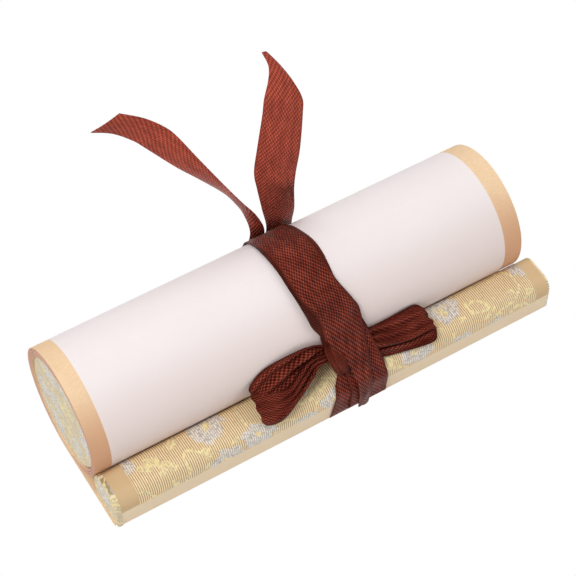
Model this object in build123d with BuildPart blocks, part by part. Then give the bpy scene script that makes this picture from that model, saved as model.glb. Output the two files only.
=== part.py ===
from build123d import *

import os

from math import cos
from math import radians
from math import sin
from math import tan

# A small hanging scroll, rolled up on its roller and tied with a ribbon.
#
# The sheet is wound on a round roller whose ends are covered with brocade. Its free end runs flat
# under the roll to the D-shaped top bar, which lies against the front of the roll. One ribbon goes
# twice round the roll and the bar, is tied in a bow on the bar, and its two ends stand up behind.
#
# Frame, in mm: the origin is on the table, under the roller's axis and at the middle of the sheet's
# width. +X runs along the roller, +Y points away from the top bar, and +Z is up.

os.makedirs("parts", exist_ok=True)

# Sheet: paper lined with paper, with a strip of tan paper down each side.
sheet_width = 111.2
sheet_thickness = 0.45
turn_gap = 0.10
roll_radius = 15.65
half_turns = 7
left_strip_width = 4.2
right_strip_width = 4.6

# Roller.
roller_clearance = 0.10
roller_inset = 0.30
roller_cover = 0.40
roller_cover_rim = 5.0

# Top bar, measured over its coverings.
bar_width = 10.3
bar_height = 9.55
bar_crown_radius = 3.3
bar_foot_radius = 0.8
bar_roll_clearance = 0.12
bar_past_sheet_left = -0.3
bar_past_sheet_right = 3.6
cloth_thickness = 0.40
band_thickness = 0.28
lining_thickness = 0.28
seam_height = 4.8
left_band_width = 4.5
right_band_width = 3.7
bar_end_cover = 0.40
bar_end_cover_rim = 1.3
flap_inset = 1.1

# Ribbon.
ribbon_width = 10.0
ribbon_thickness = 0.30
ribbon_play = 0.10
straight_wrap_x = 2.9
slanted_wrap_x_back = 1.5
slanted_wrap_x_front = 10.2
knot_radius = 2.4
knot_clearance = 0.17
knot_x = 4.6
bow_slope = 37.0
bow_roll_clearance = 0.19
loop_thickness = 1.7
loop_root_thickness = 0.9
loop_root_width = 4.0
left_loop_length = 21.6
right_loop_length = 22.4
tail_y = 2.5
tail_sag = 4.0
tail_end_slant = 45.0
left_tail_x = 1.5
left_tail_heading = 127.0
left_tail_reach = 37.5
left_tail_rise = 22.5
right_tail_x = 5.5
right_tail_heading = 66.5
right_tail_reach = 24.5
right_tail_rise = 33.0

# Heights, from the table up: the ribbon under the roll, the sheet, the bar.
sheet_bottom = ribbon_thickness + ribbon_play
half_pitch = (sheet_thickness + turn_gap) / 2
roll_axis = sheet_bottom + roll_radius
bar_bottom = sheet_bottom + sheet_thickness
bar_top = bar_bottom + bar_height
sheet_end = sheet_width / 2

# The bar's inner crown clears the roll's front, which sets how far forward the bar lies.
front_radius = roll_radius - half_pitch
front_axis = roll_axis + half_pitch
crown_drop = front_axis - (bar_top - bar_crown_radius)
crown_reach = front_radius + bar_roll_clearance + bar_crown_radius
bar_inner_y = -((crown_reach**2 - crown_drop**2) ** 0.5) + bar_crown_radius
bar_outer_y = bar_inner_y - bar_width
bar_middle_y = (bar_inner_y + bar_outer_y) / 2
bar_left_x = -sheet_end - bar_past_sheet_left
bar_right_x = sheet_end + bar_past_sheet_right


# ---------------------------------------------------------------- sheet

flap_y = bar_outer_y + flap_inset

# Each half turn is a half circle. Those behind the axis share one centre, and those in front share
# another, half a pitch higher, so the turns meet smoothly at the top and at the bottom.
with BuildSketch(Plane.YZ) as sheet_section:
    with BuildLine():
        Line((flap_y, sheet_bottom), (0, sheet_bottom))
        Line((0, sheet_bottom + sheet_thickness), (flap_y, sheet_bottom + sheet_thickness))
        Line((flap_y, sheet_bottom + sheet_thickness), (flap_y, sheet_bottom))
        for turn in range(half_turns):
            in_front = turn % 2
            centre = (0, roll_axis + in_front * half_pitch)
            outer_radius = roll_radius - turn * half_pitch
            CenterArc(centre, outer_radius, -90 + 180 * in_front, 180)
            CenterArc(centre, outer_radius - sheet_thickness, -90 + 180 * in_front, 180)
        inner_end = roll_axis + roll_radius - (half_turns - 1) * half_pitch
        Line((0, inner_end), (0, inner_end - sheet_thickness))
    make_face()

panel_left = -sheet_end + left_strip_width
panel_right = sheet_end - right_strip_width

with BuildPart() as sheet_panel:
    with BuildSketch(Plane.YZ.offset(panel_left)):
        add(sheet_section.sketch_local)
    extrude(amount=panel_right - panel_left)

with BuildPart() as edge_strip_left:
    with BuildSketch(Plane.YZ.offset(-sheet_end)):
        add(sheet_section.sketch_local)
    extrude(amount=left_strip_width)

with BuildPart() as edge_strip_right:
    with BuildSketch(Plane.YZ.offset(panel_right)):
        add(sheet_section.sketch_local)
    extrude(amount=right_strip_width)


# ---------------------------------------------------------------- roller

bore_radius = roll_radius - (half_turns - 1) * half_pitch - sheet_thickness
roller_over_cover = bore_radius - roller_clearance
roller_radius = roller_over_cover - roller_cover
roller_end = sheet_end - roller_inset - roller_cover

with BuildPart() as roller:
    with BuildSketch(Plane.YZ.offset(-roller_end)):
        with Locations((0, roll_axis)):
            Circle(roller_radius)
    extrude(amount=2 * roller_end)
    chamfer(roller.edges().filter_by(GeomType.CIRCLE), roller_cover / 2)
    # The rod is full size between the rims of its two cloth covers.
    with BuildSketch(Plane.YZ.offset(-roller_end + roller_cover_rim)):
        with Locations((0, roll_axis)):
            Circle(roller_over_cover)
    extrude(amount=2 * (roller_end - roller_cover_rim))


def roller_cover_cup(side):
    """A brocade cover over one end of the roller, a disc with a rim; side is -1 left, 1 right."""
    with BuildPart() as cup:
        with BuildSketch(Plane.YZ.offset(side * (roller_end - roller_cover_rim))):
            with Locations((0, roll_axis)):
                Circle(roller_over_cover)
        extrude(amount=side * (roller_cover_rim + roller_cover))
        fillet(cup.faces().sort_by(Axis.X)[-1 if side > 0 else 0].edges(), roller_cover)
        with BuildSketch(Plane.YZ.offset(side * (roller_end - roller_cover_rim))):
            with Locations((0, roll_axis)):
                Circle(roller_radius)
        extrude(amount=side * roller_cover_rim, mode=Mode.SUBTRACT)
    return cup.part


# ---------------------------------------------------------------- top bar

def bar_section(inset):
    """The bar's D section with its two crowned upper corners, inset from its coverings."""
    with BuildSketch(Plane.YZ) as section:
        with Locations((bar_middle_y, bar_bottom + bar_height / 2)):
            Rectangle(bar_width - 2 * inset, bar_height - 2 * inset)
        corners = section.vertices().group_by(Axis.Y)
        fillet(corners[-1], bar_crown_radius - inset)
        fillet(corners[0], max(bar_foot_radius - inset, bar_foot_radius / 4))
    return section.sketch_local


def lining_region():
    """Where the lining covers the bar: all of its underside, and its outer side up to the seam."""
    with BuildSketch(Plane.YZ) as region:
        with Locations((bar_middle_y, bar_bottom)):
            Rectangle(2 * bar_width, 2 * cloth_thickness)
        with Locations((bar_outer_y, bar_bottom)):
            Rectangle(2 * cloth_thickness + bar_foot_radius, 2 * seam_height)
    return region.sketch_local


def bar_covering(x_from, x_to, thickness, below_seam):
    """A layer of that thickness on the wood, on the lining's side of the seam or on the other."""
    with BuildPart() as covering:
        with BuildSketch(Plane.YZ.offset(x_from)):
            add(bar_section(cloth_thickness - thickness))
            add(bar_section(cloth_thickness), mode=Mode.SUBTRACT)
            add(lining_region(), mode=Mode.INTERSECT if below_seam else Mode.SUBTRACT)
        extrude(amount=x_to - x_from)
    return covering.part


wood_left = bar_left_x + bar_end_cover
wood_right = bar_right_x - bar_end_cover
left_band_from = bar_left_x + bar_end_cover_rim
brocade_from = left_band_from + left_band_width
brocade_to = wood_right - right_band_width + bar_end_cover

with BuildPart() as top_bar:
    with BuildSketch(Plane.YZ.offset(wood_left)):
        add(bar_section(cloth_thickness))
    extrude(amount=wood_right - wood_left)

bar_lining = bar_covering(left_band_from, wood_right, lining_thickness, True)
bar_brocade = bar_covering(brocade_from, brocade_to, cloth_thickness, False)
bar_band_left = bar_covering(left_band_from, brocade_from, band_thickness, False)
bar_band_right = bar_covering(brocade_to, wood_right, band_thickness, False)

# The left end is capped with brocade that folds over the edge; the right cap only covers the end.
with BuildPart() as bar_end_cover_left:
    with BuildSketch(Plane.YZ.offset(bar_left_x)):
        add(bar_section(0))
    extrude(amount=bar_end_cover_rim)
    fillet(bar_end_cover_left.faces().sort_by(Axis.X)[0].edges(), bar_end_cover * 0.9)
    with BuildSketch(Plane.YZ.offset(wood_left)):
        add(bar_section(cloth_thickness))
    extrude(amount=bar_end_cover_rim, mode=Mode.SUBTRACT)

with BuildPart() as bar_end_cover_right:
    with BuildSketch(Plane.YZ.offset(wood_right)):
        add(bar_section(cloth_thickness - band_thickness))
    extrude(amount=bar_end_cover)


# ---------------------------------------------------------------- ribbon

def tied_outline(clearance):
    """The hull of the roll, the bar's outer crown and its foot, which a tight ribbon follows."""
    with BuildSketch(Plane.YZ) as outline:
        with Locations((0, roll_axis)):
            Circle(roll_radius + clearance)
        with Locations((bar_outer_y + bar_crown_radius, bar_top - bar_crown_radius)):
            Circle(bar_crown_radius + clearance)
        with Locations((bar_outer_y + bar_foot_radius, sheet_bottom + bar_foot_radius)):
            Circle(bar_foot_radius + clearance)
        make_hull()
    return outline.sketch_local


def wrap_footprint(x_back, x_front):
    """The strip of plan that one turn of ribbon covers, drifting along X from back to front."""
    back_y = roll_radius + ribbon_width
    front_y = bar_outer_y - ribbon_width
    Polygon(
        (x_back - ribbon_width / 2, back_y),
        (x_back + ribbon_width / 2, back_y),
        (x_front + ribbon_width / 2, front_y),
        (x_front - ribbon_width / 2, front_y),
        align=None,
    )


with BuildPart() as wraps:
    with BuildSketch(Plane.YZ.offset(-sheet_end)):
        add(tied_outline(ribbon_play + ribbon_thickness))
        add(tied_outline(ribbon_play), mode=Mode.SUBTRACT)
    extrude(amount=sheet_width)
    with BuildSketch(Plane.XY):
        wrap_footprint(straight_wrap_x, straight_wrap_x)
        wrap_footprint(slanted_wrap_x_back, slanted_wrap_x_front)
    extrude(amount=2 * (roll_axis + roll_radius), mode=Mode.INTERSECT)


# The bow lies in the hollow between the roll and the bar, on a slope from the roll's front down to
# the bar's outer crown, which it clears by the ribbon's play. It rises up the slope until its upper
# edge is as near to the roll's front as its clearance allows.
bow_down = Vector(0, -cos(radians(bow_slope)), -sin(radians(bow_slope)))
bow_out = Vector(0, -sin(radians(bow_slope)), cos(radians(bow_slope)))
crown_centre = Vector(0, bar_outer_y + bar_crown_radius, bar_top - bar_crown_radius)
bow_seat = crown_centre + bow_out * (bar_crown_radius + ribbon_play + loop_thickness / 2)
upper_edge = bow_seat - bow_down * (ribbon_width / 2) - bow_out * (loop_thickness / 2)
from_front_centre = upper_edge - Vector(0, 0, front_axis)
edge_reach = front_radius + bow_roll_clearance
along_slope = from_front_centre.dot(bow_down)
bow_rise = along_slope - (along_slope**2 - from_front_centre.length**2 + edge_reach**2) ** 0.5
bow_middle = bow_seat - bow_down * bow_rise
bow_start = Vector(knot_x, bow_middle.Y, bow_middle.Z)

# The knot stands out from the bow far enough to clear the bar's crown.
knot_reach = bar_crown_radius + knot_clearance + knot_radius
knot_lift = (knot_reach**2 - bow_rise**2) ** 0.5 - (bow_seat - crown_centre).length


def bow_loop(side, length):
    """A flattened loop of ribbon, wide at its end and gathered at the knot; side is -1 or 1."""
    lengthways = Vector(side, 0, 0)
    section_plane = Plane(origin=bow_start, x_dir=lengthways, z_dir=bow_down)
    face_plane = Plane(origin=bow_start, x_dir=lengthways, z_dir=bow_out)
    with BuildPart() as loop:
        with BuildSketch(section_plane):
            Circle(loop_root_thickness / 2)
            with Locations((length - loop_thickness / 2, 0)):
                Circle(loop_thickness / 2)
            make_hull()
            offset(amount=-ribbon_thickness, mode=Mode.SUBTRACT)
        extrude(amount=ribbon_width / 2, both=True)
        with BuildSketch(face_plane):
            with BuildLine():
                Polyline(
                    (0, -loop_root_width / 2),
                    (ribbon_width, -ribbon_width / 2),
                    (length, -ribbon_width / 2),
                    (length, ribbon_width / 2),
                    (ribbon_width, ribbon_width / 2),
                    (0, loop_root_width / 2),
                    close=True,
                )
            make_face()
        extrude(amount=loop_thickness, both=True, mode=Mode.INTERSECT)
    return loop.part


def tail(root_x, heading, reach, rise):
    """A free end of ribbon that leaves the wraps at the roll's top and is cut on the slant.

    heading is the way it points in plan, in degrees from +X, and its width is level. reach and rise
    are how far the tip lies from the root.
    """
    layer_radius = roll_radius + ribbon_play + ribbon_thickness
    root = Vector(root_x, tail_y, roll_axis + (layer_radius**2 - tail_y**2) ** 0.5)
    ahead = Vector(cos(radians(heading)), sin(radians(heading)), 0)
    level = Vector(sin(radians(heading)), -cos(radians(heading)), 0)
    chord = (ahead * reach + Vector(0, 0, rise)).normalized()
    plane = Plane(origin=root, x_dir=chord, z_dir=level)
    span = (reach**2 + rise**2) ** 0.5
    half_thickness = ribbon_thickness / 2
    with BuildPart() as strip:
        with BuildSketch(plane):
            with BuildLine():
                low = ThreePointArc(
                    (0, -half_thickness),
                    (span / 2, -tail_sag - half_thickness),
                    (span, -half_thickness),
                )
                high = ThreePointArc(
                    (0, half_thickness),
                    (span / 2, -tail_sag + half_thickness),
                    (span, half_thickness),
                )
                Line(low @ 0, high @ 0)
                Line(low @ 1, high @ 1)
            make_face()
        extrude(amount=ribbon_width / 2, both=True)
        # The slanted cut takes one corner off the tip.
        run = ribbon_width / tan(radians(tail_end_slant))
        with BuildSketch(Plane(origin=root, x_dir=chord, z_dir=plane.y_dir)):
            with BuildLine():
                Polyline(
                    (span - run, -ribbon_width / 2),
                    (span + ribbon_width, -ribbon_width / 2),
                    (span + ribbon_width, ribbon_width / 2),
                    (span, ribbon_width / 2),
                    close=True,
                )
            make_face()
        extrude(amount=ribbon_width, both=True, mode=Mode.SUBTRACT)
    return strip.part


with BuildPart() as ribbon:
    add(wraps.part)
    with Locations(bow_start + bow_out * knot_lift):
        Sphere(knot_radius)
    add(bow_loop(-1, left_loop_length))
    add(bow_loop(1, right_loop_length))
    add(tail(left_tail_x, left_tail_heading, left_tail_reach, left_tail_rise))
    add(tail(right_tail_x, right_tail_heading, right_tail_reach, right_tail_rise))


# ---------------------------------------------------------------- export

pieces = {
    "roller": roller.part,
    "roller_end_cover_left": roller_cover_cup(-1),
    "roller_end_cover_right": roller_cover_cup(1),
    "sheet_panel": sheet_panel.part,
    "edge_strip_left": edge_strip_left.part,
    "edge_strip_right": edge_strip_right.part,
    "top_bar": top_bar.part,
    "bar_lining": bar_lining,
    "bar_brocade": bar_brocade,
    "bar_band_left": bar_band_left,
    "bar_band_right": bar_band_right,
    "bar_end_cover_left": bar_end_cover_left.part,
    "bar_end_cover_right": bar_end_cover_right.part,
    "ribbon": ribbon.part,
}

for name, piece in pieces.items():
    piece.label = name
    export_step(piece, f"parts/{name}.step")
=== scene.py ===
import math

import bpy
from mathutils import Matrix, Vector


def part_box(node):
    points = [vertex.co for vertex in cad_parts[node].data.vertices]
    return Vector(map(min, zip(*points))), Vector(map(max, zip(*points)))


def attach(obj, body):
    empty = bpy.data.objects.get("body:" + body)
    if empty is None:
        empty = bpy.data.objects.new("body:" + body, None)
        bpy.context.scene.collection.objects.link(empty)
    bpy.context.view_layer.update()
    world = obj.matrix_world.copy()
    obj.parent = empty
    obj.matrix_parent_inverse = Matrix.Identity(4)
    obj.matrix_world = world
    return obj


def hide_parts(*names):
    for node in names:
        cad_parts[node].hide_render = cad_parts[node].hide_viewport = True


# The looks of a small hanging scroll, rolled up and tied with a satin ribbon. Everything is placed
# in the frame of the CAD model. Lists of points are in millimetres and are turned into metres.

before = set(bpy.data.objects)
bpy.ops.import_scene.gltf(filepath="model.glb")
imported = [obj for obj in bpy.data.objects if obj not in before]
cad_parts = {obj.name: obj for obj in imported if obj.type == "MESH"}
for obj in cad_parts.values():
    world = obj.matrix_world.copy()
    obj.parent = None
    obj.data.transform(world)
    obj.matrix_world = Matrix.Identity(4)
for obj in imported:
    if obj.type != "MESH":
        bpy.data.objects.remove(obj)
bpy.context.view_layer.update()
MM = 0.001


# ---------------------------------------------------------------- node helpers

NOISE_ROUGHNESS = 0.55


class Shader:
    """A material's node tree, with short calls to add and link its nodes."""

    def __init__(self, name):
        self.material = bpy.data.materials.new(name)
        self.material.use_nodes = True
        self.nodes = self.material.node_tree.nodes
        self.links = self.material.node_tree.links
        self.surface = self.nodes["Principled BSDF"]

    def add(self, kind, inputs=None, **settings):
        node = self.nodes.new(kind)
        for name, value in settings.items():
            setattr(node, name, value)
        for name, value in (inputs or {}).items():
            self.feed(node.inputs[name], value)
        return node

    def feed(self, socket, value):
        if isinstance(value, bpy.types.NodeSocket):
            self.links.new(value, socket)
        else:
            socket.default_value = value

    def math(self, operation, a, b=0.0):
        node = self.add("ShaderNodeMath", operation=operation)
        self.feed(node.inputs[0], a)
        self.feed(node.inputs[1], b)
        return node.outputs[0]

    def inverse(self, value):
        return self.math("SUBTRACT", 1.0, value)

    def mapped(self, vector, scale=(1, 1, 1), location=(0, 0, 0), rotation=(0, 0, 0)):
        inputs = {"Vector": vector, "Scale": scale, "Location": location, "Rotation": rotation}
        return self.add("ShaderNodeMapping", inputs).outputs[0]

    def noise(self, place, scale, detail=3.0):
        inputs = {"Vector": place, "Scale": scale, "Detail": detail, "Roughness": NOISE_ROUGHNESS}
        return self.add("ShaderNodeTexNoise", inputs).outputs["Fac"]

    def ramp(self, value, stops):
        node = self.add("ShaderNodeValToRGB", {"Fac": value})
        elements = node.color_ramp.elements
        while len(elements) < len(stops):
            elements.new(0.5)
        for element, (position, colour) in zip(elements, stops):
            element.position = position
            element.color = (*colour, 1)
        return node.outputs["Color"]

    def steps(self, value, low, high):
        """0 below low, 1 above high and smooth between them."""
        node = self.add("ShaderNodeMapRange", {"Value": value}, interpolation_type="SMOOTHSTEP")
        node.inputs["From Min"].default_value = low
        node.inputs["From Max"].default_value = high
        return node.outputs["Result"]

    def mix(self, share, a, b, blend="MIX"):
        node = self.add("ShaderNodeMix", data_type="RGBA", blend_type=blend)
        self.feed(node.inputs["Factor"], share)
        self.feed(node.inputs["A"], a if isinstance(a, bpy.types.NodeSocket) else (*a, 1))
        self.feed(node.inputs["B"], b if isinstance(b, bpy.types.NodeSocket) else (*b, 1))
        return node.outputs["Result"]

    def tinted(self, colour, tint):
        return self.mix(1.0, colour, tint, "MULTIPLY")

    def place(self):
        """The point in metres, the same for every piece, because no piece is moved."""
        return self.add("ShaderNodeTexCoord").outputs["Object"]

    def apart(self, vector):
        node = self.add("ShaderNodeSeparateXYZ", {"Vector": vector})
        return node.outputs["X"], node.outputs["Y"], node.outputs["Z"]

    def together(self, x, y, z=0.0):
        return self.add("ShaderNodeCombineXYZ", {"X": x, "Y": y, "Z": z}).outputs[0]

    def bump(self, height, distance, strength=1.0):
        inputs = {"Height": height, "Distance": distance, "Strength": strength}
        normal = self.add("ShaderNodeBump", inputs).outputs["Normal"]
        self.links.new(normal, self.surface.inputs["Normal"])

    def finish(self, colour, roughness, **sockets):
        self.feed(self.surface.inputs["Base Color"], colour)
        self.feed(self.surface.inputs["Roughness"], roughness)
        for name, value in sockets.items():
            self.surface.inputs[name.replace("_", " ")].default_value = value
        return self.material


# ---------------------------------------------------------------- materials

# The range in y where the paper takes its painted shade, and the height in z above the ground where it
# begins.
SHADED_FRONT_Y = (-17.0 * MM, -5.0 * MM)
OFF_GROUND_Z = (0.5 * MM, 4.0 * MM)


def paper(name, light, dark, low, edge, fibre=0.5):
    """Soft matt paper with faint clouds, and fibres by the share fibre.

    low is painted shade: its tone where it turns down towards the bar, away from the light, warmed as if
    lit back from the bar; edge is its tone where it is cut.
    """
    s = Shader(name)
    place = s.place()
    clouds = s.noise(place, 60.0)
    fibres = s.noise(s.mapped(place, scale=(1, 3, 3)), 900.0)
    grain = s.noise(place, 4000.0)
    tone = s.math("ADD", s.math("MULTIPLY", clouds, 1 - fibre), s.math("MULTIPLY", fibres, fibre))
    colour = s.ramp(tone, [(0.3, dark), (0.7, light)])
    _, y, z = s.apart(place)
    off_ground = s.steps(z, *OFF_GROUND_Z)
    # Painted shade: the side towards the bar, off the ground, takes the tone low.
    front = s.math("MULTIPLY", s.inverse(s.steps(y, *SHADED_FRONT_Y)), off_ground)
    colour = s.mix(front, colour, low)
    end_on = s.math("ABSOLUTE", s.apart(s.add("ShaderNodeNewGeometry").outputs["Normal"])[0])
    cut = s.math("MULTIPLY", s.steps(end_on, 0.6, 0.9), off_ground)
    colour = s.mix(cut, colour, edge)
    height = s.math("ADD", s.math("MULTIPLY", fibres, 0.6), s.math("MULTIPLY", grain, 0.4))
    s.bump(height, 0.04 * MM, 0.5)
    return s.finish(colour, 0.85, Specular_IOR_Level=0.2)


def wood(name, light, dark):
    """Bare wood with its grain along X."""
    s = Shader(name)
    grain = s.noise(s.mapped(s.place(), scale=(0.08, 1, 1)), 900.0, 6.0)
    colour = s.ramp(grain, [(0.3, dark), (0.7, light)])
    s.bump(grain, 0.03 * MM)
    return s.finish(colour, 0.7)


RIB_PITCH = 0.51 * MM
RIB_SWAY = 0.3 * MM
VINE_LEVEL = 0.52
VINE_HALF_WIDTH = (0.012, 0.026)
LEAF_SOFTNESS = 0.03
FLOWER_RADIUS = (0.37, 0.40)
HEART_RADIUS = (0.07, 0.12)
RIM_RADIUS = (0.44, 0.48)
PETAL_DEPTH = 0.42


def brocade(name, ground, gap, gold, silver, on_end, cell, flower_share, leaf_level, shift):
    """Ribbed cloth with wandering gold lines, gold leaves and silver flowers with gold hearts.

    Its motif lies in plan on the bar, and in the end's plane where on_end is set. cell is about the
    distance in mm from one flower's place to the next, and the flowers' radii are shares of it.
    """
    s = Shader(name)
    x, y, z = s.apart(s.place())
    if on_end:
        rib_place = z
        flat = s.together(y, s.math("ADD", z, x), shift)
    else:
        rib_place = x
        flat = s.together(x, s.math("ADD", y, z), shift)
    sway = s.math("MULTIPLY", s.noise(flat, 200.0), RIB_SWAY)
    turn = s.math("MULTIPLY", s.math("ADD", rib_place, sway), 2 * math.pi / RIB_PITCH)
    rib = s.steps(s.math("SINE", turn), -0.9, 0.1)
    thread = s.noise(s.mapped(flat, scale=(2.6, 1.0, 1.0)), 1500.0, 2.0)
    slanted = s.mapped(flat, scale=(2.2, 0.9, 1.0), rotation=(0, 0, 0.5))
    stitches = s.steps(s.noise(slanted, 1300.0, 1.0), 0.42, 0.52)

    off_line = s.math("ABSOLUTE", s.math("SUBTRACT", s.noise(flat, 118.0, 0.0), VINE_LEVEL))
    vines = s.inverse(s.steps(off_line, *VINE_HALF_WIDTH))
    clumps = s.noise(s.mapped(flat, location=(0.05, 0.02, 0)), 240.0, 1.0)
    leaves = s.steps(clumps, leaf_level, leaf_level + LEAF_SOFTNESS)
    gilt = s.math("MAXIMUM", s.math("MULTIPLY", vines, 0.9), s.math("MULTIPLY", leaves, 0.85))

    inputs = {"Vector": flat, "Scale": 1000 / cell, "Randomness": 0.7}
    cells = s.add("ShaderNodeTexVoronoi", inputs, voronoi_dimensions="2D")
    ragged = s.math("MULTIPLY", s.math("SUBTRACT", s.noise(flat, 420.0, 1.0), 0.5), PETAL_DEPTH)
    distance = s.math("ADD", cells.outputs["Distance"], ragged)
    chosen = s.math("LESS_THAN", s.apart(cells.outputs["Color"])[0], flower_share)
    flower, heart, rim = (
        s.math("MULTIPLY", s.inverse(s.steps(distance, *radius)), chosen)
        for radius in (FLOWER_RADIUS, HEART_RADIUS, RIM_RADIUS)
    )

    ribbed = s.mix(rib, gap, ground)
    gold_threads = s.mix(stitches, [c * 0.75 for c in ground], gold)
    colour = s.mix(gilt, ribbed, gold_threads)
    colour = s.mix(rim, colour, ribbed)
    mesh = s.math("MULTIPLY", rib, s.steps(s.noise(flat, 2300.0, 0.0), 0.36, 0.46))
    colour = s.mix(flower, colour, s.mix(mesh, [c * 0.58 for c in silver], silver))
    colour = s.mix(s.math("MULTIPLY", heart, 0.9), colour, gold_threads)
    colour = s.mix(s.math("MULTIPLY", s.steps(thread, 0.5, 0.72), 0.30), colour, gap)
    height = s.math("ADD", s.math("MULTIPLY", rib, 0.5), s.math("MULTIPLY", gilt, 0.4))
    height = s.math("ADD", height, s.math("MULTIPLY", flower, 0.5))
    s.bump(s.math("ADD", height, s.math("MULTIPLY", thread, 0.6)), 0.14 * MM, 0.8)
    return s.finish(colour, 0.5, Metallic=0.1, Specular_IOR_Level=0.5)


DOT_PITCH = 0.60 * MM
DOT_SPACING = 0.37 * MM
ROW_SLANT = 0.35
SELVEDGE = (4.35 * MM, 4.45 * MM)
SELVEDGE_RIB = 0.5236 * MM
PAINTED_EDGE_SHADE = (4.7 * MM, 4.95 * MM)
# Where the ends take painted light: behind the roll in y and z, and above it in z.
BEHIND_ROLL_Y = (13.5 * MM, 15.5 * MM)
BEHIND_ROLL_Z = (20 * MM, 27 * MM)
ABOVE_ROLL_Z = (31 * MM, 42 * MM)


def satin(name):
    """Brown satin ribbon: staggered raised dots in slanted rows, between two ribbed selvedges.

    Painted shade darkens its very edges; painted light makes it lighter where its ends stand up behind
    the roll, as if lit through.
    """
    s = Shader(name)
    along, across, _ = s.apart(s.add("ShaderNodeUVMap", uv_map="ribbon").outputs[0])
    slanted = s.math("ADD", along, s.math("MULTIPLY", across, ROW_SLANT))
    rows = s.math("COSINE", s.math("MULTIPLY", slanted, math.pi / DOT_PITCH))
    files = s.math("COSINE", s.math("MULTIPLY", across, math.pi / DOT_SPACING))
    dots = s.math("ADD", s.math("MULTIPLY", s.math("MULTIPLY", rows, files), 0.5), 0.5)
    rib_turn = s.math("MULTIPLY", along, 2 * math.pi / SELVEDGE_RIB)
    ribs = s.math("ADD", s.math("MULTIPLY", s.math("SINE", rib_turn), 0.25), 0.45)
    out = s.math("ABSOLUTE", across)
    inputs = {"Factor": s.steps(out, *SELVEDGE), "A": dots, "B": ribs}
    weave = s.add("ShaderNodeMix", inputs).outputs["Result"]
    streaks = s.noise(s.together(s.math("MULTIPLY", along, 0.22), across), 900.0, 2.0)
    patches = s.noise(s.together(along, across), 200.0, 2.0)
    tone = s.math("ADD", s.math("MULTIPLY", weave, 0.46), s.math("MULTIPLY", streaks, 0.38))
    tone = s.math("ADD", tone, s.math("MULTIPLY", patches, 0.20))
    colour = s.ramp(tone, [
        (0.28, (0.022, 0.0022, 0.0015)), (0.46, (0.090, 0.0110, 0.0060)),
        (0.62, (0.220, 0.0340, 0.0190)), (0.80, (0.420, 0.0950, 0.0580)),
    ])
    # Painted shade: the ribbon's very edges are darkened.
    colour = s.mix(s.steps(out, *PAINTED_EDGE_SHADE), colour, s.tinted(colour, (0.45, 0.42, 0.42)))
    _, y, z = s.apart(s.place())
    # Painted light: behind and above the roll the ends are coloured lighter, as if light came through
    # them.
    behind = s.math("MULTIPLY", s.steps(y, *BEHIND_ROLL_Y), s.steps(z, *BEHIND_ROLL_Z))
    painted_backlight = s.math("MAXIMUM", behind, s.steps(z, *ABOVE_ROLL_Z))
    painted_backlit_colour = s.mix(0.5, s.tinted(colour, (2.7, 2.5, 2.4)), (0.38, 0.078, 0.050))
    colour = s.mix(painted_backlight, colour, painted_backlit_colour)
    s.bump(s.math("ADD", weave, s.math("MULTIPLY", streaks, 1.2)), 0.28 * MM)
    return s.finish(
        colour, 0.34, Specular_IOR_Level=0.15, Specular_Tint=(1.0, 0.55, 0.45, 1), Sheen_Weight=0.03,
        Sheen_Roughness=0.4, Sheen_Tint=(1.0, 0.40, 0.30, 1),
    )


# Each paper's low tone is painted shade on the roll's side towards the bar; on the bar's own papers it
# is close to their plain tone.
WHITE_PAPER = paper(
    "white_paper", light=(0.89, 0.82, 0.82), dark=(0.87, 0.785, 0.78), low=(0.86, 0.73, 0.69),
    edge=(0.70, 0.45, 0.36), fibre=0.4,
)
TAN_PAPER = paper(
    "tan_paper", light=(0.92, 0.68, 0.44), dark=(0.80, 0.55, 0.33), low=(0.70, 0.38, 0.22),
    edge=(0.66, 0.38, 0.28),
)
BAND_PAPER = paper(
    "band_paper", light=(0.74, 0.54, 0.32), dark=(0.58, 0.38, 0.20), low=(0.68, 0.48, 0.27),
    edge=(0.60, 0.42, 0.26), fibre=0.8,
)
LINING_PAPER = paper(
    "lining_paper", light=(0.93, 0.77, 0.56), dark=(0.84, 0.65, 0.44), low=(0.90, 0.73, 0.52),
    edge=(0.80, 0.60, 0.42), fibre=0.7,
)
WOOD = wood("bare_wood", light=(0.66, 0.46, 0.27), dark=(0.48, 0.31, 0.17))
GOLD_BROCADE = brocade(
    "gold_brocade", ground=(0.98, 0.77, 0.47), gap=(0.44, 0.28, 0.14), gold=(1.0, 0.85, 0.44),
    silver=(0.95, 0.86, 0.76), on_end=False, cell=10.5, flower_share=0.50, leaf_level=0.575, shift=0.045,
)
SILVER_BROCADE = brocade(
    "silver_brocade", ground=(0.88, 0.76, 0.54), gap=(0.42, 0.32, 0.16), gold=(0.98, 0.80, 0.38),
    silver=(0.92, 0.87, 0.80), on_end=True, cell=7.0, flower_share=0.80, leaf_level=0.50, shift=0.031,
)
SATIN = satin("satin_ribbon")

CAD_MATERIALS = {
    "roller": WOOD,
    "roller_end_cover_left": SILVER_BROCADE,
    "roller_end_cover_right": SILVER_BROCADE,
    "sheet_panel": WHITE_PAPER,
    "edge_strip_left": TAN_PAPER,
    "edge_strip_right": TAN_PAPER,
    "top_bar": WOOD,
    "bar_lining": LINING_PAPER,
    "bar_brocade": GOLD_BROCADE,
    "bar_band_left": BAND_PAPER,
    "bar_band_right": BAND_PAPER,
    "bar_end_cover_left": SILVER_BROCADE,
    "bar_end_cover_right": SILVER_BROCADE,
}
for node, material in CAD_MATERIALS.items():
    for material_slot in bpy.data.objects[node].material_slots:
        material_slot.material = material


# ---------------------------------------------------------------- ribbon strips

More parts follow.
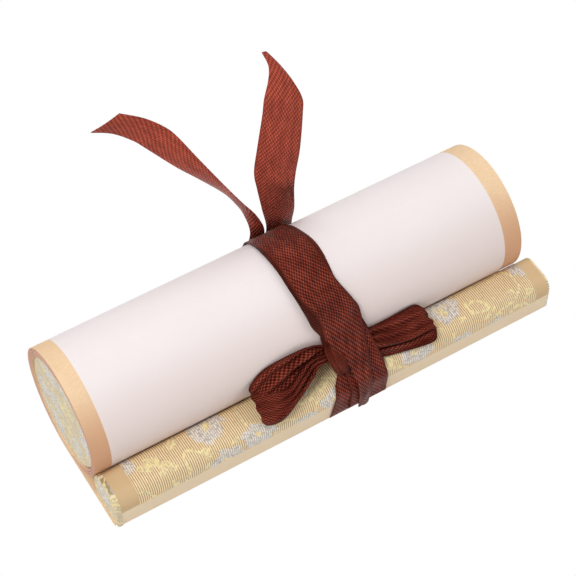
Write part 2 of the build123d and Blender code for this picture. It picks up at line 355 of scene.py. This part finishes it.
CLOTH = 0.20
RIBBON_WIDTH = 10.0
LOWEST_LAYER = CLOTH / 2 + 0.02
ACROSS = 20
STEP = 0.6
TANGENT_STEP = 0.05
CREASE_RIPPLES = 3
CREASE_DRIFT = 0.7
CREASE_RATE = 1.9
CREASE_START = 1.3
FOLD_SWAY = 0.9
FOLD_SWAY_RATE = 1.1


def catmull(points, t):
    """The point at t on the smooth curve through the points; t is 0 at the first, 1 at the next."""
    last = len(points) - 1
    i = min(int(t), last - 1)
    u = t - i
    a, b, c, d = (points[min(max(i + k, 0), last)] for k in (-1, 0, 1, 2))
    bend = 2 * a - 5 * b + 4 * c - d
    twist = 3 * b - a - 3 * c + d
    return 0.5 * (2 * b + (c - a) * u + bend * u**2 + twist * u**3)


def strip(edges, puff=0.0, crease=0.0, folds=0, fold_heights=(0.0,), gathered=False, seen_edge=0.5):
    """Rows of (point, distance across) on a strip of ribbon, from a list of its two edges' points.

    puff bulges its middle out along its normal and crease ripples it. folds is the number of folds
    along it, and fold_heights their heights at even steps from its start to its end. A gathered
    strip keeps all its threads where it is narrow; another one has its hidden part folded under,
    on the far side from seen_edge, which is 0 for its first edge and 1 for its second.
    """
    first = [Vector(pair[0]) for pair in edges]
    second = [Vector(pair[1]) for pair in edges]
    heights = [Vector((h, 0, 0)) for h in fold_heights]
    rows = []
    count = len(edges) - 1
    middle = [(a + b) / 2 for a, b in zip(first, second)]
    length = sum((q - p).length for p, q in zip(middle, middle[1:]))
    samples = max(4, int(length / STEP))
    for k in range(samples + 1):
        t = count * k / samples
        a, b = catmull(first, t), catmull(second, t)
        later, earlier = min(t + TANGENT_STEP, count), max(t - TANGENT_STEP, 0)
        ahead = catmull(first, later) + catmull(second, later)
        behind = catmull(first, earlier) + catmull(second, earlier)
        normal = (ahead - behind).cross(b - a).normalized()
        width = RIBBON_WIDTH if gathered else (b - a).length
        fold = catmull(heights, (len(heights) - 1) * k / samples).x if len(heights) > 1 else 0.0
        row = []
        for j in range(ACROSS + 1):
            v = j / ACROSS
            lift = puff * math.sin(math.pi * v)
            ripple = math.sin(CREASE_RIPPLES * math.pi * v + CREASE_DRIFT * t)
            lift += crease * ripple * math.sin(CREASE_RATE * t + CREASE_START)
            lift += fold * math.sin(2 * math.pi * folds * v + FOLD_SWAY * math.sin(FOLD_SWAY_RATE * t))
            across = (v - seen_edge) * width + (seen_edge - 0.5) * RIBBON_WIDTH
            row.append((a.lerp(b, v) + normal * lift, across))
        rows.append(row)
    return rows


def ribbon_mesh(name, strips):
    """One mesh of all the strips, as thick as the cloth, with lengths and widths as its UVs."""
    points, faces, uvs = [], [], []
    for rows in strips:
        start = len(points)
        along = 0.0
        for i, row in enumerate(rows):
            if i:
                along += (row[ACROSS // 2][0] - rows[i - 1][ACROSS // 2][0]).length
            for p, across in row:
                points.append((p.x * MM, p.y * MM, max(p.z, LOWEST_LAYER) * MM))
                uvs.append((along * MM, across * MM))
        for i in range(len(rows) - 1):
            for j in range(ACROSS):
                a = start + i * (ACROSS + 1) + j
                faces.append((a, a + 1, a + ACROSS + 2, a + ACROSS + 1))
    mesh = bpy.data.meshes.new(name)
    mesh.from_pydata(points, [], faces)
    layer = mesh.uv_layers.new(name="ribbon")
    for loop in mesh.loops:
        layer.data[loop.index].uv = uvs[loop.vertex_index]
    mesh.polygons.foreach_set("use_smooth", [True] * len(mesh.polygons))
    mesh.materials.append(SATIN)
    piece = bpy.data.objects.new(name, mesh)
    bpy.context.collection.objects.link(piece)
    thick = piece.modifiers.new("thickness", "SOLIDIFY")
    thick.thickness = CLOTH * MM
    thick.offset = 0.0
    return piece


# ---------------------------------------------------------------- the wraps

sheet_low, sheet_high = (Vector(c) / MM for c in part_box("sheet_panel"))
bar_low, bar_high = (Vector(c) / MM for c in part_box("bar_brocade"))
SHEET_BOTTOM = sheet_low.z
ROLL_RADIUS = (sheet_high.z - sheet_low.z) / 2
ROLL_AXIS = SHEET_BOTTOM + ROLL_RADIUS
CROWN_RADIUS = 3.3
FOOT_RADIUS = 0.8
CROWN = (bar_low.y + CROWN_RADIUS, bar_high.z - CROWN_RADIUS)
FOOT = (bar_low.y + FOOT_RADIUS, SHEET_BOTTOM + FOOT_RADIUS)
STATION_STEP = 2.0


def hull_outline():
    """Points and outward normals round the roll and the bar, from the roll's top towards the bar."""
    circles = [((0.0, ROLL_AXIS), ROLL_RADIUS), (CROWN, CROWN_RADIUS), (FOOT, FOOT_RADIUS)]
    outline = []
    for degree in range(90, 451):
        normal = (math.cos(math.radians(degree)), math.sin(math.radians(degree)))
        reach = [c[0] * normal[0] + c[1] * normal[1] + r for c, r in circles]
        (cy, cz), r = circles[reach.index(max(reach))]
        outline.append((Vector((0, cy + r * normal[0], cz + r * normal[1])), Vector((0, *normal))))
    return outline


OUTLINE = hull_outline()
TRAVEL = [0.0]
for before, after in zip(OUTLINE, OUTLINE[1:]):
    TRAVEL.append(TRAVEL[-1] + (after[0] - before[0]).length)
ROUND = TRAVEL[-1]


def on_hull(travel, clearance):
    """The point that far round the outline from the roll's top, and that far off it."""
    travel = travel % ROUND
    i = max(k for k in range(len(TRAVEL)) if TRAVEL[k] <= travel)
    i = min(i, len(OUTLINE) - 2)
    share = (travel - TRAVEL[i]) / max(TRAVEL[i + 1] - TRAVEL[i], 1e-9)
    (p, n), (q, m) = OUTLINE[i], OUTLINE[i + 1]
    return p.lerp(q, share) + n.lerp(m, share).normalized() * clearance


def wrap(stations):
    """A strip round the hull; a station is its travel, its two edges' x and its clearance."""
    edges = []
    for travel, x_left, x_right, clearance in stations:
        p = on_hull(travel, clearance)
        edges.append(((x_left, p.y, p.z), (x_right, p.y, p.z)))
    return edges


def filled(stations):
    """The stations again, with more between them, so that each strip follows the curved hull."""
    dense = []
    for a, b in zip(stations, stations[1:]):
        parts = max(1, int((b[0] - a[0]) / STATION_STEP))
        for k in range(parts):
            share = k / parts
            eased = share * share * (3 - 2 * share)
            travel = a[0] + (b[0] - a[0]) * share
            dense.append((travel, *(x + (y - x) * eased for x, y in zip(a[1:], b[1:]))))
    return dense + [stations[-1]]


# The stations of the ribbon's two turns: how far round, the left and right edges' x, the clearance.
first_wrap = filled([
    (29, 2.6, 7.6, 0.3), (32, 1.0, 8.6, 0.3), (36, 0.2, 9.2, 0.2), (41, -0.9, 8.6, 0.2),
    (47, -1.5, 8.3, 0.1), (70, -1.6, 8.2, 0.1), (95, -1.4, 8.4, 0.2), (ROUND - 8, -0.8, 9.0, 0.3),
    (ROUND, -0.4, 9.6, 0.45), (ROUND + 8.7, -0.7, 9.0, 0.4), (ROUND + 14, 0.4, 10.4, 0.35),
    (ROUND + 18.3, 1.6, 11.5, 0.35), (ROUND + 22, 2.4, 12.4, 0.45), (ROUND + 27, 3.4, 13.1, 0.6),
    (ROUND + 31, 4.0, 13.8, 0.65), (ROUND + 35, 4.2, 13.9, 0.55), (ROUND + 41, 3.8, 13.5, 0.45),
    (ROUND + 46, 3.4, 13.2, 0.35), (ROUND + 68, 1.6, 11.4, 0.3), (ROUND + 92, -0.6, 9.2, 0.4),
    (2 * ROUND - 8, -2.0, 8.0, 0.7),
])
second_wrap = filled([
    (-8, -2.0, 8.0, 0.7), (-4, -2.2, 8.6, 0.95), (5.5, -2.0, 8.6, 1.1), (9, -1.6, 8.9, 1.1),
    (12, -1.2, 10.0, 1.1), (16, -0.5, 11.5, 1.1), (18.4, 0.6, 11.5, 1.1), (21.4, 2.1, 11.2, 1.2),
    (24, 3.0, 10.9, 1.4), (28.3, 5.0, 10.3, 1.8), (33.5, 5.8, 9.5, 1.6), (37, 6.0, 9.2, 1.1),
    (40, 6.1, 9.0, 0.75), (42.2, 6.2, 8.9, 0.65),
])

# ---------------------------------------------------------------- the bow and the free ends

# Edges in mm, the upper or left edge first. Each loop leaves the knot, turns back at its end and
# comes in again to the knot.
left_loop = [
    ((3.2, -15.8, 17.6), (3.6, -16.9, 15.8)),
    ((-0.3, -15.5, 19.9), (0.6, -16.6, 16.0)),
    ((-3.7, -15.4, 21.0), (-3.6, -17.9, 14.2)),
    ((-8.6, -15.4, 20.8), (-8.4, -19.4, 13.0)),
    ((-13.5, -15.6, 20.1), (-12.8, -20.4, 12.2)),
    ((-16.8, -15.9, 18.0), (-16.4, -21.6, 11.4)),
    ((-18.1, -16.6, 17.0), (-17.8, -22.8, 11.2)),
    ((-16.8, -17.6, 16.2), (-16.6, -24.0, 11.6)),
    ((-13.4, -19.0, 15.4), (-13.4, -24.2, 11.9)),
    ((-9.8, -19.4, 15.3), (-9.2, -22.6, 13.1)),
    ((-6.8, -18.2, 16.8), (-4.6, -20.4, 14.8)),
    ((-3.5, -17.0, 17.5), (-1.8, -18.8, 15.6)),
    ((-0.5, -17.1, 17.4), (0.6, -18.4, 15.6)),
    ((2.4, -17.6, 16.8), (3.2, -18.9, 15.4)),
]
right_loop = [
    ((5.8, -16.6, 17.2), (5.8, -18.4, 15.8)),
    ((10.5, -15.9, 17.0), (9.9, -18.8, 15.6)),
    ((14.6, -15.7, 16.3), (13.0, -20.2, 14.3)),
    ((18.6, -15.7, 16.1), (17.0, -21.0, 13.6)),
    ((22.6, -15.7, 16.3), (21.4, -21.6, 13.1)),
    ((25.8, -15.7, 16.3), (25.8, -21.6, 13.0)),
    ((27.2, -16.4, 15.6), (27.5, -21.6, 12.8)),
    ((27.8, -17.2, 14.4), (28.1, -22.3, 11.9)),
    ((26.8, -16.8, 13.6), (26.6, -23.4, 10.9)),
    ((21.0, -16.6, 13.6), (22.4, -22.9, 11.0)),
    ((15.0, -16.6, 13.8), (15.6, -21.7, 11.7)),
    ((9.0, -17.2, 14.0), (11.3, -20.5, 12.5)),
    ((5.4, -17.4, 14.4), (6.4, -19.6, 13.2)),
]
knot = [
    ((2.2, -15.7, 18.0), (6.2, -15.9, 18.4)),
    ((1.0, -17.4, 18.1), (5.0, -17.2, 18.7)),
    ((0.8, -19.4, 17.0), (4.6, -19.6, 17.3)),
    ((1.4, -20.9, 14.8), (5.0, -21.2, 15.0)),
    ((2.2, -20.9, 12.8), (5.6, -21.2, 13.0)),
]
knot_tuck = [
    ((3.0, -12.95, 25.1), (9.0, -12.95, 25.1)),
    ((1.2, -14.9, 21.7), (7.5, -15.0, 21.7)),
    ((1.2, -16.0, 19.0), (6.2, -16.1, 19.0)),
    ((1.8, -17.0, 17.6), (5.6, -17.2, 17.4)),
]
# The ends come up from under the scroll, outside the wraps, and stand up behind the roll.
right_tail = [
    ((3.6, 8.4, 1.5), (12.6, 8.4, 1.5)),
    ((4.4, 13.9, 6.0), (13.4, 13.9, 6.0)),
    ((5.6, 17.0, 14.5), (13.4, 16.9, 14.0)),
    ((6.4, 16.8, 22.0), (12.8, 16.2, 20.8)),
    ((5.0, 16.3, 30.3), (12.7, 14.9, 27.5)),
    ((4.0, 16.6, 38.0), (12.1, 14.0, 35.6)),
    ((3.7, 17.2, 43.0), (12.4, 13.8, 41.3)),
    ((5.1, 18.0, 49.6), (13.7, 14.2, 48.2)),
    ((7.4, 19.6, 57.0), (16.0, 16.9, 55.6)),
    ((8.7, 20.9, 60.5), (16.6, 18.1, 59.0)),
    ((10.9, 22.8, 63.5), (15.8, 20.6, 62.4)),
    ((12.1, 24.7, 65.5), (14.6, 24.0, 65.0)),
    ((12.6, 28.2, 66.2), (13.4, 27.6, 66.5)),
]
left_tail = [
    ((-3.6, 8.4, 1.5), (3.4, 8.4, 1.5)),
    ((-2.6, 13.9, 6.0), (4.4, 13.9, 6.0)),
    ((0.6, 17.0, 15.0), (5.2, 17.0, 15.5)),
    ((2.2, 17.0, 22.4), (5.6, 16.4, 22.3)),
    ((1.1, 17.6, 29.3), (3.4, 15.8, 29.3)),
    ((-0.3, 19.0, 32.9), (-0.4, 15.4, 36.7)),
    ((-2.2, 20.6, 36.0), (-3.2, 16.2, 42.1)),
    ((-6.9, 22.6, 41.6), (-5.7, 19.2, 46.6)),
    ((-10.9, 25.9, 45.0), (-7.6, 23.1, 49.8)),
    ((-15.1, 31.1, 48.4), (-9.2, 27.3, 52.4)),
    ((-17.1, 33.7, 49.8), (-10.6, 30.1, 53.7)),
    ((-20.5, 36.7, 51.2), (-13.8, 33.6, 55.2)),
    ((-24.6, 38.7, 52.0), (-18.3, 36.8, 56.4)),
]

loop_folds = (0.6, 0.8, 0.5, 0.2, 0.45, 0.75, 0.6)
ribbon = ribbon_mesh("satin_bow_ribbon", [
    strip(wrap(first_wrap)),
    strip(wrap(second_wrap), puff=0.15, crease=0.06, seen_edge=1.0),
    strip(left_loop, crease=0.25, folds=3, fold_heights=loop_folds, gathered=True),
    strip(right_loop, crease=0.25, folds=3, fold_heights=loop_folds, gathered=True),
    strip(knot, puff=0.5, folds=2, fold_heights=(0.2, 0.25, 0.15), gathered=True),
    strip(knot_tuck, folds=2, fold_heights=(0.0, 0.1, 0.2), gathered=True),
    strip(right_tail, puff=-0.5),
    strip(left_tail, puff=-0.4),
])
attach(ribbon, "root")
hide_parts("ribbon")


# ---------------------------------------------------------------- floor, light and camera

def white_floor():
    """A pale floor that throws light back on the scroll, and that the camera sees as plain white."""
    s = Shader("white_floor")
    s.finish((0.9, 0.9, 0.9, 1), 0.9)
    path = s.add("ShaderNodeLightPath")
    glow = s.add("ShaderNodeEmission", {"Color": (1, 1, 1, 1), "Strength": 1.0})
    blend = s.add("ShaderNodeMixShader")
    seen = s.math("MAXIMUM", path.outputs["Is Camera Ray"], path.outputs["Is Glossy Ray"])
    s.feed(blend.inputs[0], seen)
    s.feed(blend.inputs[1], s.surface.outputs[0])
    s.feed(blend.inputs[2], glow.outputs[0])
    s.feed(s.nodes["Material Output"].inputs["Surface"], blend.outputs[0])
    return s.material


bpy.ops.mesh.primitive_plane_add(size=4.0, location=(0, 0, 0))
floor = bpy.context.object
floor.name = "floor"
floor.data.materials.append(white_floor())


LAMP_TARGET = Vector((0, 0, 0.015))


def lamp(name, place, size, watts):
    """A square area lamp that points at the middle of the roll."""
    light = bpy.data.lights.new(name, "AREA")
    light.size = size
    light.energy = watts
    holder = bpy.data.objects.new(name, light)
    holder.location = place
    holder.rotation_euler = (LAMP_TARGET - Vector(place)).to_track_quat("-Z", "Y").to_euler()
    bpy.context.collection.objects.link(holder)


lamp("key", (-0.38, -0.14, 0.72), size=0.32, watts=3.2)
lamp("fill", (0.60, -0.35, 0.50), size=0.60, watts=0.9)
lamp("top", (0.05, 0.45, 0.70), size=0.60, watts=1.5)

WORLD_LIGHT = 0.42


def white_world():
    """Even light from all round, which the camera sees as white."""
    world = bpy.data.worlds.new("studio")
    world.use_nodes = True
    nodes, links = world.node_tree.nodes, world.node_tree.links
    path = nodes.new("ShaderNodeLightPath")
    strength = nodes.new("ShaderNodeMapRange")
    strength.inputs["To Min"].default_value = WORLD_LIGHT
    links.new(path.outputs["Is Camera Ray"], strength.inputs["Value"])
    links.new(strength.outputs["Result"], nodes["Background"].inputs["Strength"])
    nodes["Background"].inputs["Color"].default_value = (1, 1, 1, 1)
    return world


bpy.context.scene.world = white_world()

# CAMERA_BACK points from what the camera looks at to the camera.
CAMERA_PLACE = Vector((-128.78, -215.57, 363.49)) * MM
CAMERA_BACK = Vector((-0.3077, -0.5071, 0.8051))
FOCAL_LENGTH = 118.5
SENSOR_WIDTH = 36.0
lens = bpy.data.cameras.new("camera")
lens.lens = FOCAL_LENGTH
lens.sensor_width = SENSOR_WIDTH
lens.clip_end = 10.0
camera = bpy.data.objects.new("camera", lens)
camera.location = CAMERA_PLACE
camera.rotation_euler = CAMERA_BACK.to_track_quat("Z", "Y").to_euler()
bpy.context.collection.objects.link(camera)
bpy.context.scene.camera = camera
bpy.context.scene.view_settings.view_transform = "Standard"
